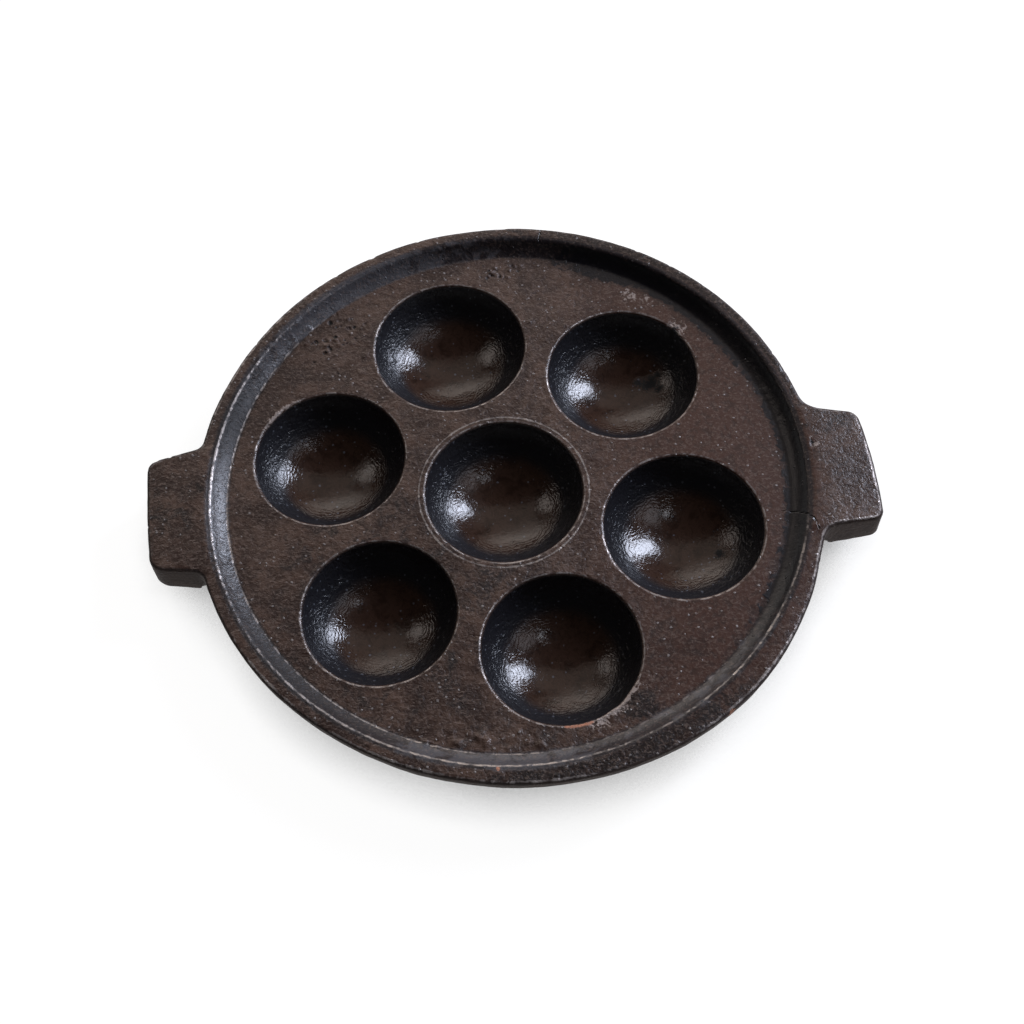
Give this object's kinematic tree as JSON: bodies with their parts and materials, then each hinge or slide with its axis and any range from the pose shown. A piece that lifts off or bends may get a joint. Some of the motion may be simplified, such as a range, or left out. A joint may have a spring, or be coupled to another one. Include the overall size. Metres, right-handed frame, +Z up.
{
  "type": "paniyaram pan",
  "caption": "Cast iron paniyaram pan: a shallow round tray with round-bottomed cups for batter and a short flat lug on each side.",
  "frame": {"origin": "on the rim's axis, in the plane that the flat feet under the cups stand on", "axes": "+X from the left lug to the right lug, +Y away from the user, +Z up out of the cups"},
  "size_m": [0.2521, 0.218, 0.0245],
  "materials": {
    "cast_iron": "seasoned sand-cast iron, dark brown-black, satin, with worn edges and a few rust specks"
  },
  "bodies": {
    "root": {"pan": "cast_iron"}
  },
  "joints": []
}
